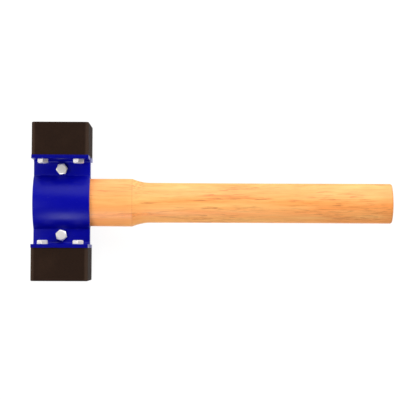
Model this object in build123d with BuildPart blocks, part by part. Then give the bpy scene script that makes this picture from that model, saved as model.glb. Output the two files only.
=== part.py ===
"""Rubber mallet: two square rubber faces bolted to a bent steel strip clamp on an oval wooden handle.

The mallet lies on its side. +X runs along the handle, away from the head, +Y along the head from
face to face, and +Z is up, on the side of the clamp bolts' heads. The origin is on the surface that
the mallet lies on, below the middle of its length.
"""

from build123d import *
from math import asin, cos, degrees, radians, tan
import os

os.makedirs("parts", exist_ok=True)

# ---- driving dimensions, in millimetres ----
overall_length = 353.7

# clamp: two strips bent alike, each with two end flanges, two wings and an arch over the handle
strip_width = 55.2
strip_thickness = 3.5
wing_gap = 2.0
flange_seat = 44.85
flange_reach = 28.5
arch_inner_radius = 30.5
arch_crest = 13.3
arch_bend_radius = 1.5
flange_bend_radius = 3.0
strip_corner_radius = 0.8

# rubber faces and what is moulded into them
face_width = 55.3
face_depth = 32.1
face_corner_radius = 3.2
face_edge_radius = 1.0
plate_width = 45.0
plate_thickness = 3.0
plate_corner_radius = 3.0
insert_radius = 5.0
insert_length = 12.0
insert_groove_depth = 0.8
insert_groove_width = 4.0

# fasteners: M6 throughout
thread_radius = 3.0
hex_flats = 10.0
crown_share = 0.84
head_height = 4.0
nut_height = 5.0
washer_radius = 5.5
washer_thickness = 1.6
running_clearance = 0.05
hole_radius = 3.3
face_bolt_spread = 34.5
face_bolt_length = 14.0
clamp_bolt_offset = 32.5
clamp_bolt_length = 20.0
thread_chamfer = 0.7
face_bolt_turn = 30.0
clamp_bolt_turns = {"left": 42.0, "right": 8.0}

# handle: half widths lie along Y and half thicknesses along Z
handle_recess = 1.5
handle_clearance = 0.1
shoulder_distance = 69.0
cove_length = 17.0
handle_front_half_width = 23.2
handle_head_half_width = 23.55
grip_half_width = 19.7
grip_waist_half_width = 19.55
grip_half_thickness = 11.8
grip_waist_half_thickness = 11.5
handle_tip_ratio = 0.45
butt_edge_radius = 2.5
handle_edge_ease = 0.8

# ---- places worked out from them ----
half_strip = strip_width / 2
half_face = face_width / 2
head_x = half_face - overall_length / 2
head_centre = Vector(head_x, 0, flange_reach)
butt_distance = overall_length - half_face
wing_inner = wing_gap / 2
wing_outer = wing_inner + strip_thickness
flange_face = flange_seat - strip_thickness
sides = {"left": -1, "right": 1}


def save(piece, name):
    """Label a finished piece and write it as one STEP file."""
    piece.label = name
    export_step(piece, f"parts/{name}.step")


def face_bolt_places(side):
    """Plane of each face bolt on the inner side of a flange, with its normal towards the handle."""
    seat = Plane(
        origin=head_centre + Vector(0, side * flange_face, 0), x_dir=(1, 0, 0), z_dir=(0, -side, 0)
    )
    return [seat * place for place in GridLocations(face_bolt_spread, face_bolt_spread, 2, 2)]


# ---- clamp halves ----
def strip_outline():
    """Draw half of the strip's handle side surface: flange, bend, wing, bend and half the arch."""
    arch_centre = arch_crest - arch_inner_radius
    wing_bend = arch_bend_radius + strip_thickness
    bend_height = wing_inner + wing_bend
    bend_reach = arch_inner_radius + wing_bend
    lean = degrees(asin((bend_height - arch_centre) / bend_reach))
    bend_start = bend_reach * cos(radians(lean))
    flange_bend = flange_bend_radius + strip_thickness
    bend_edge = flange_seat - flange_bend
    CenterArc((0, arch_centre), arch_inner_radius, lean, 90 - lean)
    CenterArc((bend_start, bend_height), wing_bend, 180 + lean, 90 - lean)
    Line((bend_start, wing_inner), (bend_edge, wing_inner))
    CenterArc((bend_edge, wing_inner + flange_bend), flange_bend, 270, 90)
    Line((flange_seat, wing_inner + flange_bend), (flange_seat, flange_reach))


for name, facing in {"top_clamp_half": 1, "bottom_clamp_half": -1}.items():
    section_plane = Plane(origin=head_centre, x_dir=(0, 1, 0), z_dir=(facing, 0, 0))
    with BuildPart() as clamp_half:
        with BuildSketch(section_plane):
            with BuildLine():
                strip_outline()
                mirror(about=Plane.YZ)
                offset(amount=strip_thickness, side=Side.RIGHT)
            make_face()
        extrude(amount=half_strip, both=True)
        # holes for the two clamp bolts, through the wings
        with BuildSketch(Plane.XY.offset(head_centre.Z)):
            with Locations((head_x, -clamp_bolt_offset), (head_x, clamp_bolt_offset)):
                Circle(hole_radius)
        extrude(amount=facing * flange_reach, mode=Mode.SUBTRACT)
        # holes for the face bolts, two through each flange
        for side in sides.values():
            flange_inside = head_centre + Vector(0, side * flange_face, facing * face_bolt_spread / 2)
            with BuildSketch(Plane(flange_inside, x_dir=(1, 0, 0), z_dir=(0, side, 0))):
                with GridLocations(face_bolt_spread, 0, 2, 1):
                    Circle(hole_radius)
            extrude(amount=strip_thickness, mode=Mode.SUBTRACT)
        # the flanges' free corners, slightly rounded
        free_corners = clamp_half.edges().filter_by(Axis.Y).group_by(Axis.Z)
        fillet(free_corners[-1 if facing > 0 else 0].filter_by(GeomType.LINE), strip_corner_radius)
    save(clamp_half.part, name)


# ---- fasteners ----
def hexagon(seat, height, turn, both_ends=False):
    """Hexagon on a seat plane, with the corners of its outer end, or of both ends, coned off."""
    corner_radius = hex_flats / 2 / cos(radians(30))
    crown_radius = crown_share * hex_flats / 2
    cone_drop = (corner_radius - crown_radius) * tan(radians(30))
    with BuildPart() as block:
        with BuildSketch(seat):
            RegularPolygon(radius=hex_flats / 2, side_count=6, major_radius=False, rotation=turn)
        extrude(amount=height)
        with BuildSketch(Plane(seat.origin, x_dir=seat.x_dir, z_dir=-seat.y_dir)):
            with BuildLine():
                foot_radius = crown_radius if both_ends else corner_radius
                Polyline(
                    (0, 0),
                    (foot_radius, 0),
                    (corner_radius, cone_drop),
                    (corner_radius, height - cone_drop),
                    (crown_radius, height),
                    (0, height),
                    close=True,
                )
            make_face()
        revolve(axis=Axis(seat.origin, seat.z_dir), mode=Mode.INTERSECT)
    return block.part


def hex_bolt(seat, length, turn):
    """M6 hexagon bolt whose head stands on the seat plane and whose shank goes the other way."""
    with BuildPart() as bolt:
        with BuildSketch(seat):
            Circle(thread_radius)
        extrude(amount=-length)
        tip = bolt.edges().filter_by(GeomType.CIRCLE).sort_by_distance(seat.origin)[-1]
        chamfer(tip, thread_chamfer)
        add(hexagon(seat, head_height, turn))
    return bolt.part


# clamp bolts, with a plain washer and a nut below the bottom wing
for side_name, side in sides.items():
    bolt_centre = head_centre + Vector(0, side * clamp_bolt_offset, 0)
    top_seat = Plane(bolt_centre + Vector(0, 0, wing_outer))
    save(hex_bolt(top_seat, clamp_bolt_length, clamp_bolt_turns[side_name]), f"{side_name}_clamp_bolt")

    washer_seat = Plane(bolt_centre - Vector(0, 0, wing_outer), x_dir=(1, 0, 0), z_dir=(0, 0, -1))
    with BuildPart() as washer:
        with BuildSketch(washer_seat):
            Circle(washer_radius)
            Circle(hole_radius, mode=Mode.SUBTRACT)
        extrude(amount=washer_thickness)
    save(washer.part, f"{side_name}_clamp_washer")

    nut_seat = washer_seat.offset(washer_thickness)
    with BuildPart() as nut:
        add(hexagon(nut_seat, nut_height, 2 * clamp_bolt_turns[side_name], both_ends=True))
        with BuildSketch(nut_seat):
            Circle(thread_radius + running_clearance)
        extrude(amount=nut_height, mode=Mode.SUBTRACT)
    save(nut.part, f"{side_name}_clamp_nut")


# ---- rubber faces ----
def insert_solid(seat):
    """Round threaded insert without its bore, standing away from the handle, grooved to hold in rubber."""
    waist = insert_radius - insert_groove_depth
    groove_start = (insert_length - insert_groove_width) / 2
    groove_end = groove_start + insert_groove_width
    with BuildPart() as solid:
        with BuildSketch(Plane(seat.origin, x_dir=seat.x_dir, z_dir=-seat.y_dir)):
            with BuildLine():
                Polyline(
                    (0, 0),
                    (insert_radius, 0),
                    (insert_radius, groove_start),
                    (waist, groove_start),
                    (waist, groove_end),
                    (insert_radius, groove_end),
                    (insert_radius, insert_length),
                    (0, insert_length),
                    close=True,
                )
            make_face()
        revolve(axis=Axis(seat.origin, seat.z_dir))
    return solid.part


for side_name, side in sides.items():
    outward = Plane(
        origin=head_centre + Vector(0, side * flange_seat, 0), x_dir=(1, 0, 0), z_dir=(0, side, 0)
    )

    # steel plate that backs the inserts, sealed inside the rubber
    with BuildPart() as anchor_plate:
        with BuildSketch(outward.offset(insert_length)):
            RectangleRounded(plate_width, plate_width, plate_corner_radius)
        extrude(amount=plate_thickness)
    save(anchor_plate.part, f"{side_name}_anchor_plate")

    insert_solids = []
    for number, place in enumerate(face_bolt_places(side), start=1):
        head_seat = Plane(place)
        bolt_name = f"{side_name}_face_bolt_{number}"
        save(hex_bolt(head_seat, face_bolt_length, face_bolt_turn), bolt_name)

        insert_seat = Plane(
            head_seat.origin + Vector(0, side * strip_thickness, 0), x_dir=(1, 0, 0), z_dir=(0, side, 0)
        )
        insert_solids.append(insert_solid(insert_seat))
        with BuildPart() as insert:
            add(insert_solids[-1])
            with BuildSketch(insert_seat):
                Circle(thread_radius + running_clearance)
            extrude(amount=insert_length, mode=Mode.SUBTRACT)
        save(insert.part, f"{side_name}_insert_{number}")

    with BuildPart() as rubber_face:
        with BuildSketch(outward):
            RectangleRounded(face_width, face_width, face_corner_radius)
        extrude(amount=face_depth)
        strike_end = rubber_face.faces().sort_by(Axis.Y)[-1 if side > 0 else 0]
        fillet(strike_end.edges(), face_edge_radius)
        add(anchor_plate.part, mode=Mode.SUBTRACT)
        for solid in insert_solids:
            add(solid, mode=Mode.SUBTRACT)
    save(rubber_face.part, f"{side_name}_rubber_face")


# ---- handle ----
def oval(half_width, half_thickness):
    """Closed oval of two flat flank arcs and two tight tip arcs, tangent to each other."""
    tip = handle_tip_ratio * half_thickness
    reach = half_width - tip
    flank = (reach**2 + half_thickness**2 - tip**2) / (2 * (half_thickness - tip))
    spread = degrees(asin(reach / (flank - tip)))
    drop = flank - half_thickness
    CenterArc((0, -drop), flank, 90 - spread, 2 * spread)
    CenterArc((-reach, 0), tip, 90 + spread, 180 - 2 * spread)
    CenterArc((0, drop), flank, 270 - spread, 2 * spread)
    CenterArc((reach, 0), tip, 270 + spread, 180 - 2 * spread)


def oval_section(distance, half_width, half_thickness):
    """The handle's section at a distance from the head's centre along the handle."""
    with BuildSketch(Plane(head_centre + Vector(distance, 0, 0), x_dir=(0, 1, 0), z_dir=(1, 0, 0))) as section:
        with BuildLine():
            oval(half_width, half_thickness)
        make_face()
    return section.sketch


handle_head_half_thickness = arch_crest - handle_clearance
head_end = handle_recess - half_strip
cove_end = shoulder_distance + cove_length
# fall from the shoulder to the grip: share of the cove's length, and share of the fall still to go
cove_steps = [(0.0, 1.0), (0.3, 0.53), (0.6, 0.2), (1.0, 0.0)]

with BuildPart() as handle:
    loft([
        oval_section(head_end, handle_front_half_width, handle_head_half_thickness),
        oval_section(shoulder_distance, handle_head_half_width, handle_head_half_thickness),
    ])
    chamfer(handle.faces().sort_by(Axis.X)[0].edges(), handle_edge_ease)
    loft([
        oval_section(
            shoulder_distance + along * cove_length,
            grip_half_width + left_to_fall * (handle_head_half_width - grip_half_width),
            grip_half_thickness + left_to_fall * (handle_head_half_thickness - grip_half_thickness),
        )
        for along, left_to_fall in cove_steps
    ])
    loft([
        oval_section(cove_end, grip_half_width, grip_half_thickness),
        oval_section((cove_end + butt_distance) / 2, grip_waist_half_width, grip_waist_half_thickness),
        oval_section(butt_distance, grip_half_width, grip_half_thickness),
    ])
    fillet(handle.faces().sort_by(Axis.X)[-1].edges(), butt_edge_radius)
save(handle.part, "handle")
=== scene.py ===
import math

import bmesh
import bpy
from mathutils import Euler, Matrix, Vector


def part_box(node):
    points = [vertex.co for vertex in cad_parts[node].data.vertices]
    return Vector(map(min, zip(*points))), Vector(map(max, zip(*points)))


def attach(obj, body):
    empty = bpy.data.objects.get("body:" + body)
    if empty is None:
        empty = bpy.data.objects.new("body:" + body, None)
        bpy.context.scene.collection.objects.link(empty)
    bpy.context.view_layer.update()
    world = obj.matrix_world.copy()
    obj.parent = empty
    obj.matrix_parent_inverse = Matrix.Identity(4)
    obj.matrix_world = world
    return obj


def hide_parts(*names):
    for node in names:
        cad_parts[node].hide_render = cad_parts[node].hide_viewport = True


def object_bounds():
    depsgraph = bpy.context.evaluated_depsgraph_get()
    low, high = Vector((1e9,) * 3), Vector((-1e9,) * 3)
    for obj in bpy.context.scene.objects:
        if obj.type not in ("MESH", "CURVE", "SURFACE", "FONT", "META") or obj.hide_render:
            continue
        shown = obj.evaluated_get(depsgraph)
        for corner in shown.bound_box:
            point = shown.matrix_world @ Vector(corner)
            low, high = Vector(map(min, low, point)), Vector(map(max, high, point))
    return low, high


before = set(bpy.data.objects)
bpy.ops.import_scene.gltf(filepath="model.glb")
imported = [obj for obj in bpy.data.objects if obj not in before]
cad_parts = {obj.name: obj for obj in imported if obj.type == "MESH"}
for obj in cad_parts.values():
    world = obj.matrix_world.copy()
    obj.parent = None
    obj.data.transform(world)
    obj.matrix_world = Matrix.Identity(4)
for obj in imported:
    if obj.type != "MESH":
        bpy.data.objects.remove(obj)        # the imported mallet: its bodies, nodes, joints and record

cad_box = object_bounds()

# ---- sizes, in metres ----
MM = 0.001
WELD = 0.001 * MM                            # points this close together are one
PAINTED_EDGE = 0.35 * MM                     # radius on the edges of the painted strip
WASHER_EDGE = 0.15 * MM
HEX_EDGE = 0.12 * MM

PITCH = 1.0 * MM
THREAD_RADIUS = 3.0 * MM
THREAD_DEPTH = 0.55 * MM
THREAD_STEPS = 8                             # rows of points in one turn of the thread
POINT = 0.7 * MM                             # chamfer at the bolt's end
BORE_RADIUS = THREAD_RADIUS + 0.05 * MM
COUNTERSINK = 0.4 * MM
HEX_FLATS = 10.0 * MM
HEAD_HEIGHT = 4.0 * MM
CROWN_SHARE = 0.84                           # how much of the flats the crown's circle spans
CROWN_SLOPE = math.tan(math.radians(30))

REACH = cad_box[1][2] / 2                    # height of the head's middle
HEAD_MIDDLE = sum(corner[0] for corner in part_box("left_rubber_face")) / 2
STRIKE = cad_box[1][1]
BUTT = cad_box[1][0]
PITH = (-90 * MM, -20 * MM)                  # where the middle of the tree lay, across the handle
HANDLE_HALF_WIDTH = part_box("handle")[1][1]
SHOULDER = max(                              # where the handle is widest
    vert.co.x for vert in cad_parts["handle"].data.vertices if vert.co.y > 0.995 * HANDLE_HALF_WIDTH
)


# ---- node trees ----
class Value:
    """One output socket of a node tree, which Python sums and products turn into Math nodes."""

    def __init__(self, tree, socket):
        self.tree = tree
        self.socket = socket

    def __add__(self, other):
        return self.tree.math("ADD", self, other)

    def __radd__(self, other):
        return self.tree.math("ADD", other, self)

    def __sub__(self, other):
        return self.tree.math("SUBTRACT", self, other)

    def __rsub__(self, other):
        return self.tree.math("SUBTRACT", other, self)

    def __mul__(self, other):
        return self.tree.math("MULTIPLY", self, other)

    def __rmul__(self, other):
        return self.tree.math("MULTIPLY", other, self)

    def __truediv__(self, other):
        return self.tree.math("DIVIDE", self, other)

    def __pow__(self, other):
        return self.tree.math("POWER", self, other)


class Tree:
    """A node tree under construction, for a material or for geometry."""

    def __init__(self, nodes, links):
        self.nodes = nodes
        self.links = links

    def node(self, kind, settings=None, inputs=None):
        """Add a node: its settings first, then the values or links of its sockets. Returns its outputs."""
        made = self.nodes.new(kind)
        for name, value in (settings or {}).items():
            if name == "stops":
                self.set_stops(made.color_ramp.elements, value)
            else:
                setattr(made, name, value)
        for name, value in (inputs or {}).items():
            if isinstance(value, Value):
                self.links.new(value.socket, made.inputs[name])
            else:
                made.inputs[name].default_value = value
        return [Value(self, socket) for socket in made.outputs]

    def math(self, operation, *values):
        return self.node("ShaderNodeMath", {"operation": operation}, dict(enumerate(values)))[0]

    def share(self, value):
        """A number held between nought and one."""
        return self.math("MINIMUM", self.math("MAXIMUM", value, 0.0), 1.0)

    @staticmethod
    def set_stops(elements, stops):
        while len(elements) < len(stops):
            elements.new(1.0)
        for element, (position, colour) in zip(elements, stops):
            element.position = position
            element.color = colour


def linear(red, green, blue):
    """A colour given as it looks on a screen, 0 to 255, as the linear values that shaders take."""
    shares = [value / 255 for value in (red, green, blue)]
    return tuple(s / 12.92 if s <= 0.04045 else ((s + 0.055) / 1.055) ** 2.4 for s in shares) + (1.0,)


class Finish(Tree):
    """A material on Object coordinates, with one Principled shader."""

    def __init__(self, name, **constants):
        self.material = bpy.data.materials.new(name)
        self.material.use_nodes = True
        super().__init__(self.material.node_tree.nodes, self.material.node_tree.links)
        self.shader = self.nodes["Principled BSDF"]
        for socket, value in constants.items():
            self.shader.inputs[socket.replace("_", " ")].default_value = value
        self.place = self.node("ShaderNodeTexCoord")[3]

    def at(self, scale=(1, 1, 1), offset=(0, 0, 0)):
        """Object coordinates, stretched: a scale under 1 along an axis draws a pattern out along it."""
        return self.node("ShaderNodeMapping", {}, {0: self.place, 1: offset, 3: scale})[0]

    def noise(self, vector, scale, detail=3.0, roughness=0.5):
        inputs = {"Vector": vector, "Scale": scale, "Detail": detail, "Roughness": roughness}
        return self.node("ShaderNodeTexNoise", {}, inputs)[0]

    def ramp(self, value, *stops):
        """A number remapped through stops of (position, level)."""
        stops = [(position, (level, level, level, 1)) for position, level in stops]
        return self.node("ShaderNodeValToRGB", {"stops": stops}, {0: value})[0]

    def mix(self, factor, first, second):
        return self.node("ShaderNodeMix", {"data_type": "RGBA"}, {0: factor, 6: first, 7: second})[2]

    def bump(self, height, distance, strength):
        inputs = {"Strength": strength, "Distance": distance, "Height": height}
        self.feed("Normal", self.node("ShaderNodeBump", {}, inputs)[0])

    def feed(self, socket, value):
        self.links.new(value.socket, self.shader.inputs[socket])


# ---- finishes ----
def blue_enamel():
    """Blue enamel on bent steel strip: orange peel, fine scratches, a little dust, and painted shade:
    darker blue along the top and bottom edges.
    """
    paint = Finish("blue_enamel", IOR=1.5, Specular_IOR_Level=0.12)
    tone = paint.noise(paint.at(), 45.0, 4.0, 0.6)
    dust = paint.ramp(paint.noise(paint.at(offset=(0.3, 0.1, 0.2)), 900.0, 2.0), (0.66, 0.0), (0.74, 1.0))
    scratch_grain = paint.noise(paint.at((60, 900, 900)), 1.0, 3.0, 0.7)
    scratches = paint.ramp(scratch_grain, (0.70, 0.0), (0.76, 1.0))
    height = paint.node("ShaderNodeSeparateXYZ", {}, {0: paint.place})[2]
    from_middle = paint.math("ABSOLUTE", height - REACH)
    # painted shade: the blue is darkened in a band along the strip's top and bottom edges
    edge_shade_depth = 1.6 * MM
    painted_edge_shade = paint.math("SMOOTH_MIN", (from_middle - REACH + edge_shade_depth) / MM, 1.0, 0.3)
    painted_edge_shade = paint.math("MAXIMUM", painted_edge_shade, 0.0)
    colour = paint.mix(tone, linear(2, 4, 138), linear(5, 6, 152))
    colour = paint.mix(painted_edge_shade * 0.7, colour, linear(2, 4, 112))
    colour = paint.mix(dust * 0.08, colour, linear(120, 120, 190))
    colour = paint.mix(scratches * 0.06, colour, linear(70, 70, 190))
    paint.feed("Base Color", colour)
    paint.feed("Roughness", 0.27 + 0.10 * tone + 0.15 * scratches)
    peel = paint.noise(paint.at(), 420.0, 2.0)
    paint.bump(peel - 0.12 * scratches, 0.05 * MM, 0.5)
    return paint.material


def dark_rubber():
    """Moulded rubber, very dark brown and matt: faint bloom, pitted skin and scuffs, with a painted
    highlight that makes the corners paler.
    """
    rubber = Finish("dark_rubber", IOR=1.5, Specular_IOR_Level=0.08)
    bloom = rubber.noise(rubber.at(), 28.0, 5.0, 0.62)
    pits = rubber.noise(rubber.at(offset=(0.1, 0.2, 0)), 1100.0, 3.0, 0.6)
    flow = rubber.noise(rubber.at((1, 5, 1)), 60.0, 3.0)
    smudges = rubber.ramp(bloom, (0.45, 0.0), (0.75, 1.0))
    x, y, z = rubber.node("ShaderNodeSeparateXYZ", {}, {0: rubber.place})
    across = rubber.math("ABSOLUTE", x - HEAD_MIDDLE)
    upward = rubber.math("ABSOLUTE", z - REACH)
    # painted highlight: the rounded corners along the block are painted paler, as where they catch the
    # light
    highlight_from, highlight_over = 23.6 * MM, 2.4 * MM
    corner = rubber.share((rubber.math("MINIMUM", across, upward) - highlight_from) / highlight_over)
    struck_depth, struck_fade = 0.6 * MM, 0.5 * MM
    strike = rubber.share((rubber.math("ABSOLUTE", y) - STRIKE + struck_depth) / struck_fade)
    scuffs = rubber.ramp(rubber.noise(rubber.at((40, 900, 160)), 1.0, 5.0, 0.65), (0.52, 0.0), (0.68, 1.0))
    colour = rubber.mix(smudges, linear(36, 22, 14), linear(46, 31, 22))
    colour = rubber.mix(rubber.ramp(pits, (0.34, 1.0), (0.46, 0.0)) * 0.6, colour, linear(18, 11, 8))
    colour = rubber.mix(corner * (0.35 + 0.5 * bloom), colour, linear(72, 56, 46))
    colour = rubber.mix(strike * scuffs * 0.35, colour, linear(84, 74, 66))
    rubber.feed("Base Color", colour)
    rubber.feed("Roughness", 0.68 + 0.22 * bloom)
    rubber.bump(0.8 * pits + 1.5 * flow - 0.8 * strike * scuffs, 0.08 * MM, 0.7)
    return rubber.material


def pale_ash():
    """Sanded and thinly varnished ash, cut with its growth rings on edge."""
    wood = Finish("pale_ash", IOR=1.45, Coat_Weight=0.08, Coat_Roughness=0.3)
    x, y, z = wood.node("ShaderNodeSeparateXYZ", {}, {0: wood.place})
    wander = wood.noise(wood.at((7, 22, 22)), 1.0, 2.0) - 0.5
    pith = ((y - PITH[0]) ** 2 + (z - PITH[1]) ** 2) ** 0.5 + wander * 8 * MM

    def grain(along, across, around, detail, shift=0.0):
        """Noise drawn out along the handle, and laid in the growth rings."""
        place = {0: x * along + shift, 1: pith * across, 2: (z + y * 0.2) * around}
        return wood.noise(wood.node("ShaderNodeCombineXYZ", {}, place)[0], 1.0, detail, 0.55)

    bands = wood.ramp(grain(9, 210, 14, 2.5), (0.36, 0.0), (0.64, 1.0))
    blush = wood.ramp(grain(12, 85, 40, 2.0, 3.1), (0.44, 0.0), (0.66, 1.0))
    stripes = wood.ramp(grain(16, 820, 260, 3.0, 4.3), (0.38, 1.0), (0.60, 0.0))
    fibres = wood.ramp(grain(40, 1700, 1300, 3.0, 5.7), (0.35, 1.0), (0.60, 0.0))
    clusters = wood.ramp(grain(18, 150, 110, 2.0, 9.6), (0.45, 0.0), (0.60, 1.0))
    veins = wood.ramp(grain(34, 1500, 1100, 2.0, 11.0), (0.56, 0.0), (0.61, 1.0))
    pores = wood.ramp(grain(70, 1900, 1400, 1.5, 13.0), (0.56, 0.0), (0.61, 1.0))
    colour = wood.mix(bands, linear(255, 190, 112), linear(255, 168, 88))
    colour = wood.mix(blush * 0.45, colour, linear(250, 144, 68))
    colour = wood.mix(stripes * 0.22, colour, linear(236, 140, 64))
    colour = wood.mix(fibres * 0.14, colour, linear(222, 140, 70))
    colour = wood.mix(veins * (0.14 + 0.34 * clusters), colour, linear(196, 108, 42))
    colour = wood.mix(pores * (0.14 + 0.42 * clusters), colour, linear(162, 82, 30))
    # painted shade: a thin darker reddish line along the shoulder, where shade falls at the clamp's edge
    painted_shoulder_shade = wood.math("COMPARE", x, SHOULDER, 0.5 * MM)
    colour = wood.mix(painted_shoulder_shade * 0.24, colour, linear(206, 104, 50))
    head_length, butt_length = 60 * MM, 14 * MM
    # painted shade: the wood is darkened from the shoulder towards the head end
    painted_head_shade = wood.ramp((SHOULDER - x) / head_length, (0.0, 0.0), (0.1, 0.7), (1.0, 1.0))
    colour = wood.mix(painted_head_shade * 0.34, colour, linear(236, 142, 72))
    # painted shade: the wood is darkened over the last part towards the rounded butt end
    painted_butt_shade = wood.ramp((x - (BUTT - butt_length)) / butt_length, (0.0, 0.0), (0.35, 0.7), (1.0, 1.0))
    colour = wood.mix(painted_butt_shade * 0.30, colour, linear(236, 146, 70))
    wood.feed("Base Color", colour)
    wood.feed("Roughness", 0.42 + 0.12 * fibres)
    wood.bump(1.0 - fibres * 0.4 - pores * 0.5, 0.04 * MM, 0.3)
    return wood.material


def zinc_plate():
    """Pale zinc on steel: faint warm and grey tints, dull specks and a fine grain."""
    zinc = Finish("zinc_plate", Metallic=0.55)
    tint = zinc.noise(zinc.at(), 260.0, 3.0, 0.6)
    specks = zinc.ramp(zinc.noise(zinc.at(offset=(0, 0.3, 0)), 1500.0, 2.0), (0.62, 0.0), (0.72, 1.0))
    colour = zinc.mix(tint, linear(255, 248, 236), linear(240, 238, 236))
    colour = zinc.mix(specks * 0.35, colour, linear(150, 146, 140))
    zinc.feed("Base Color", colour)
    zinc.feed("Roughness", 0.36 + 0.16 * tint + 0.2 * specks)
    zinc.bump(zinc.noise(zinc.at(), 2200.0, 2.0), 0.02 * MM, 0.5)
    return zinc.material


def turned_steel():
    """Plain steel of the parts inside the faces, turned and slightly oily."""
    steel = Finish("turned_steel", Metallic=1.0)
    rings = steel.noise(steel.at((200, 6000, 200)), 1.0, 2.0)
    stain = steel.noise(steel.at(), 120.0, 4.0, 0.6)
    steel.feed("Base Color", steel.mix(stain, linear(150, 150, 152), linear(118, 112, 106)))
    steel.feed("Roughness", 0.32 + 0.2 * stain)
    steel.bump(rings, 0.02 * MM, 0.5)
    return steel.material


def plain_floor():
    """Pale matt studio floor."""
    floor = Finish("plain_floor", Roughness=0.9, Base_Color=(0.12, 0.12, 0.12, 1))
    floor.shader.inputs["Emission Color"].default_value = (1, 1, 1, 1)
    floor.shader.inputs["Emission Strength"].default_value = 0.92
    return floor.material


ENAMEL = blue_enamel()
RUBBER = dark_rubber()
ASH = pale_ash()
ZINC = zinc_plate()
STEEL = turned_steel()


# ---- making and placing pieces ----
def keep_node(name, material):
    """Show a CAD node as it is, with its finish."""
    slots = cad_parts[name].data.materials
    slots.clear()
    slots.append(material)


def add_piece(name, mesh, material, body, node):
    """Put a finished mesh in the scene, on its body, in place of a CAD node."""
    mesh.materials.clear()
    mesh.materials.append(material)
    piece = bpy.data.objects.new(name, mesh)
    bpy.context.scene.collection.objects.link(piece)
    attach(piece, body)
    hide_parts(node)


def smooth_below(work, degrees):
    """Shade smooth across edges that turn less than an angle, and leave the others sharp."""
    for face in work.faces:
        face.smooth = True
    for edge in work.edges:
        edge.smooth = len(edge.link_faces) == 2 and edge.calc_face_angle(0) < math.radians(degrees)


def round_over(work, edges, width, segments):
    """Bevel edges into a rounded strip of the given width."""
    bmesh.ops.bevel(
        work, geom=edges, offset=width, offset_type="OFFSET", segments=segments, profile=0.5,
        affect="EDGES", clamp_overlap=True,
    )


def as_mesh(work, name):
    """The finished mesh of a shape under work, which is freed."""
    mesh = bpy.data.meshes.new(name)
    work.to_mesh(mesh)
    work.free()
    return mesh


def eased(node, width, segments):
    """A copy of a CAD node's shape with its sharp edges rounded over, as a mesh."""
    work = bmesh.new()
    work.from_mesh(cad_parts[node].data)
    bmesh.ops.remove_doubles(work, verts=work.verts, dist=2 * WELD)
    bmesh.ops.dissolve_limit(work, angle_limit=math.radians(0.5), verts=work.verts, edges=work.edges)
    sharp = [e for e in work.edges if len(e.link_faces) == 2 and e.calc_face_angle(0) > math.radians(35)]
    round_over(work, sharp, width, segments)
    smooth_below(work, 20)
    return as_mesh(work, node)


# ---- hexagon bolts and nuts ----
BOLT_SIZES = ("Flats", "Head Height", "Length", "Radius", "Pitch", "Depth", "Point")
PLAIN_ROWS = 6                               # four on the head, the shank's first, and its end's middle
NUT_SIZES = ("Flats", "Height", "Bore", "Countersink")
NUT_ROWS = 9


class Winding(Tree):
    """A geometry tree that winds a grid round the Z axis and sets each row's radius and height."""

    AROUND = 60

    def __init__(self, name, sizes, material):
        self.group = bpy.data.node_groups.new(name, "GeometryNodeTree")
        super().__init__(self.group.nodes, self.group.links)
        self.material = material
        for size in sizes:
            self.group.interface.new_socket(size, in_out="INPUT", socket_type="NodeSocketFloat")
        self.group.interface.new_socket("Rows", in_out="INPUT", socket_type="NodeSocketInt")
        self.group.interface.new_socket("Shape", in_out="OUTPUT", socket_type="NodeSocketGeometry")
        given = self.node("NodeGroupInput")
        self.size = dict(zip(sizes, given))
        self.rows = given[len(sizes)]
        grid_inputs = {
            "Size X": 1.0, "Size Y": 1.0, "Vertices X": self.AROUND + 1, "Vertices Y": self.rows,
        }
        self.grid = self.node("GeometryNodeMeshGrid", {}, grid_inputs)[0]
        position = self.node("GeometryNodeInputPosition")[0]
        across, along, _ = self.node("ShaderNodeSeparateXYZ", {}, {0: position})
        self.turn = across + 0.5
        self.row = self.math("ROUND", (along + 0.5) * (self.rows - 1))

    def at(self, *rows):
        """One on the given rows, and nought on the others."""
        first, *others = [self.math("COMPARE", self.row, row, 0.1) for row in rows]
        return sum(others, first)

    def hexagon(self):
        """The reach of the hexagon's sides, with a corner at angle nought, the radius of the crown's
        circle, and how far the crown falls from that circle to the sides."""
        side_turn = self.math("FRACT", self.turn * 6) - 0.5
        reach = self.size["Flats"] / 2 / self.math("COSINE", side_turn * math.radians(60))
        crown = self.size["Flats"] / 2 * CROWN_SHARE
        return reach, crown, (reach - crown) * CROWN_SLOPE

    def finish(self, radius, height):
        """Set the points' places, close the seam, and hand over the tree."""
        turn = self.turn * math.tau
        place = {0: radius * self.math("COSINE", turn), 1: radius * self.math("SINE", turn), 2: height}
        position = self.node("ShaderNodeCombineXYZ", {}, place)[0]
        shape = self.node("GeometryNodeSetPosition", {}, {"Geometry": self.grid, "Position": position})[0]
        shape = self.node("GeometryNodeMergeByDistance", {}, {"Geometry": shape, "Distance": WELD})[0]
        shape = self.node("GeometryNodeRealizeInstances", {}, {"Geometry": shape})[0]
        shape = self.node("GeometryNodeSetMaterial", {}, {"Geometry": shape, "Material": self.material})[0]
        self.node("NodeGroupOutput", {}, {"Shape": shape})
        return self.group


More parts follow.
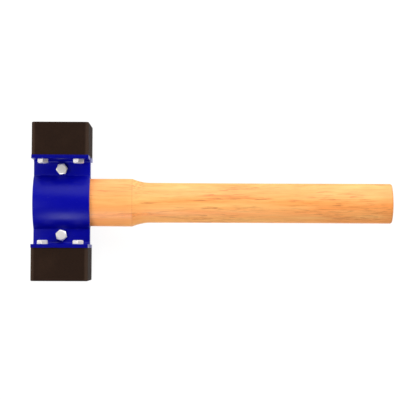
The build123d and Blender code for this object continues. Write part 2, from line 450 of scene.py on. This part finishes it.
def bolt_tree(material):
    """Crowned hexagon head above the seat at height nought, and a threaded shank below it."""
    top, crown_circle, upper_edge, lower_edge, shank = range(5)
    tree = Winding("hexagon_bolt", BOLT_SIZES, material)
    size = tree.size
    reach, crown, fall = tree.hexagon()
    last = tree.rows - 1
    down = tree.math("MAXIMUM", tree.row - shank, 0.0) * size["Length"] / (last - shank - 1)
    down = tree.math("MINIMUM", down, size["Length"])
    wave = tree.math("PINGPONG", down / size["Pitch"] + tree.turn, 0.5) * 2
    crest = tree.share(wave * 1.4 - 0.2)
    root = size["Radius"] - size["Depth"]
    thread = size["Radius"] - size["Depth"] * (1 - crest)
    runout = root + down
    point = size["Radius"] - size["Point"] + (size["Length"] - down)
    thread = tree.math("MINIMUM", tree.math("MINIMUM", thread, runout), point)
    below_head = tree.math("GREATER_THAN", tree.row, shank - 0.5)
    above_end = tree.math("LESS_THAN", tree.row, last - 0.5)
    radius = (
        tree.at(crown_circle) * crown + tree.at(upper_edge, lower_edge) * reach
        + below_head * above_end * thread
    )
    height = (
        tree.at(top, crown_circle, upper_edge) * size["Head Height"] - tree.at(upper_edge) * fall - down
    )
    return tree.finish(radius, height)


def nut_tree(material):
    """Hexagon nut on the plane at height nought, crowned at both ends, with a countersunk bore.

    The rows go from the bore's upper end out over the top, down the sides, in under the bottom and
    back up the bore.
    """
    (start, upper_mouth, upper_circle, upper_edge,
     lower_edge, lower_circle, lower_mouth, lower_bore, end) = range(NUT_ROWS)
    tree = Winding("hexagon_nut", NUT_SIZES, material)
    size = tree.size
    reach, crown, fall = tree.hexagon()
    radius = (
        tree.at(start, lower_bore, end) * size["Bore"]
        + tree.at(upper_mouth, lower_mouth) * (size["Bore"] + size["Countersink"])
        + tree.at(upper_circle, lower_circle) * crown + tree.at(upper_edge, lower_edge) * reach
    )
    height = (
        tree.at(upper_mouth, upper_circle, upper_edge, start, end) * size["Height"]
        - tree.at(start, end) * size["Countersink"] - tree.at(upper_edge) * fall
        + tree.at(lower_edge) * fall + tree.at(lower_bore) * size["Countersink"]
    )
    return tree.finish(radius, height)


def wound(group, sizes, rows):
    """The plain shape that a winding tree makes at the given sizes, its hexagon's edges rounded over."""
    holder = bpy.data.objects.new("winding", bpy.data.meshes.new("winding"))
    bpy.context.scene.collection.objects.link(holder)
    modifier = holder.modifiers.new("winding", "NODES")
    modifier.node_group = group
    values = {**sizes, "Rows": rows}
    for item in group.interface.items_tree:
        if item.in_out == "INPUT":
            modifier[item.identifier] = values[item.name]
    evaluated = holder.evaluated_get(bpy.context.evaluated_depsgraph_get())
    mesh = bpy.data.meshes.new_from_object(evaluated)
    bpy.data.objects.remove(holder)
    work = bmesh.new()
    work.from_mesh(mesh)
    bmesh.ops.remove_doubles(work, verts=work.verts, dist=WELD)
    bmesh.ops.recalc_face_normals(work, faces=work.faces)
    lowest, nearest = -0.01 * MM, 0.4 * HEX_FLATS
    outline = [
        edge for edge in work.edges
        if edge.calc_face_angle(0) > math.radians(45)
        and all(vert.co.z > lowest and vert.co.xy.length > nearest for vert in edge.verts)
    ]
    round_over(work, outline, HEX_EDGE, 2)
    smooth_below(work, 15)
    return work


def turned_like(node, up, seat):
    """Where a fastener stands: its seat on a node's axis, its first corner where the node has one."""
    low, high = (Vector(corner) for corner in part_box(node))
    middle = (low + high) / 2
    centre = middle + up * (seat - middle.dot(up))
    spokes = [vert.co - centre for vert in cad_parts[node].data.vertices]
    spokes = [spoke - up * spoke.dot(up) for spoke in spokes]
    corner = max(spokes, key=lambda spoke: spoke.length).normalized()
    turn = Matrix((corner, up.cross(corner), up)).transposed().to_4x4()
    return Matrix.Translation(centre) @ turn


def add_fastener(name, node, body, work, up, seat):
    """Stand a wound bolt or nut where its node stands."""
    work.transform(turned_like(node, up, seat))
    add_piece(name, as_mesh(work, node), ZINC, body, node)


def add_bolt(node, body, up):
    """A bolt whose head points up, under the same seat and as long as its node."""
    low, high = (Vector(corner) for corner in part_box(node))
    bottom, top = sorted((low.dot(up), high.dot(up)))
    length = top - bottom - HEAD_HEIGHT
    values = (HEX_FLATS, HEAD_HEIGHT, length, THREAD_RADIUS, PITCH, THREAD_DEPTH, POINT)
    sizes = dict(zip(BOLT_SIZES, values))
    rows = PLAIN_ROWS + round(length / PITCH * THREAD_STEPS)
    add_fastener(f"{node}_threaded", node, body, wound(BOLT, sizes, rows), up, top - HEAD_HEIGHT)


def add_nut(node, body):
    """A nut as high as its node, standing on the node's lower side."""
    low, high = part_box(node)
    sizes = dict(zip(NUT_SIZES, (HEX_FLATS, high[2] - low[2], BORE_RADIUS, COUNTERSINK)))
    add_fastener(f"{node}_crowned", node, body, wound(NUT, sizes, NUT_ROWS), Vector((0, 0, 1)), low[2])


BOLT = bolt_tree(ZINC)
NUT = nut_tree(ZINC)

# ---- the mallet ----
for half in ("top_clamp_half", "bottom_clamp_half"):
    add_piece(f"{half}_painted", eased(half, PAINTED_EDGE, 3), ENAMEL, "head_frame", half)

keep_node("handle", ASH)

for side, outward in (("left", -1), ("right", 1)):
    keep_node(f"{side}_rubber_face", RUBBER)
    keep_node(f"{side}_anchor_plate", STEEL)
    for number in range(1, 5):
        keep_node(f"{side}_insert_{number}", STEEL)
        bolt = f"{side}_face_bolt_{number}"
        add_bolt(bolt, bolt, Vector((0, -outward, 0)))
    add_bolt(f"{side}_clamp_bolt", "head_frame", Vector((0, 0, 1)))
    washer = f"{side}_clamp_washer"
    add_piece(f"{washer}_eased", eased(washer, WASHER_EDGE, 2), ZINC, washer, washer)
    add_nut(f"{side}_clamp_nut", f"{side}_clamp_nut")


# ---- floor, light and camera ----
def add_floor():
    """The surface that the mallet lies on, which isn't part of it."""
    bpy.ops.mesh.primitive_plane_add(size=6.0, location=(0, 0, 0))
    floor = bpy.context.object
    floor.name = "studio_floor"
    floor.data.materials.append(plain_floor())


def add_softbox(name, place, aim, size, power):
    """A square soft light at a place, turned towards a point."""
    light = bpy.data.lights.new(name, "AREA")
    light.shape = "SQUARE"
    light.size = size
    light.energy = power
    lamp = bpy.data.objects.new(name, light)
    bpy.context.scene.collection.objects.link(lamp)
    lamp.location = place
    lamp.rotation_euler = (Vector(aim) - Vector(place)).to_track_quat("-Z", "Y").to_euler()


def add_world(strength):
    """Faint even light from all round."""
    world = bpy.data.worlds.new("studio_air")
    world.use_nodes = True
    world.node_tree.nodes["Background"].inputs[0].default_value = (1, 1, 1, 1)
    world.node_tree.nodes["Background"].inputs[1].default_value = strength
    bpy.context.scene.world = world


def add_camera():
    """Camera almost straight above, a little over a metre away, looking down at the upper side."""
    camera = bpy.data.cameras.new("product_camera")
    camera.lens = 108.5
    camera.sensor_width = 36.0
    camera.dof.use_dof = False
    rig = bpy.data.objects.new("product_camera", camera)
    bpy.context.scene.collection.objects.link(rig)
    rig.location = (-0.0340, -0.0518, 1.2183)
    rig.rotation_euler = Euler([math.radians(turn) for turn in (2.63, -1.003, 0.2)])
    bpy.context.scene.camera = rig


add_floor()
add_world(0.08)
add_softbox("main_softbox", (0.10, 1.05, 0.70), (-0.05, 0, 0), 1.6, 21.0)
add_softbox("fill_softbox", (-0.2, -0.85, 0.80), (-0.05, 0, 0), 0.38, 5.2)
add_softbox("right_softbox", (0.95, 0.75, 0.60), (-0.10, 0, 0), 0.5, 6.0)
add_softbox("left_softbox", (-0.95, -0.1, 0.95), (-0.05, 0, 0), 0.6, 7.5)
add_camera()
bpy.context.scene.view_settings.view_transform = "Standard"
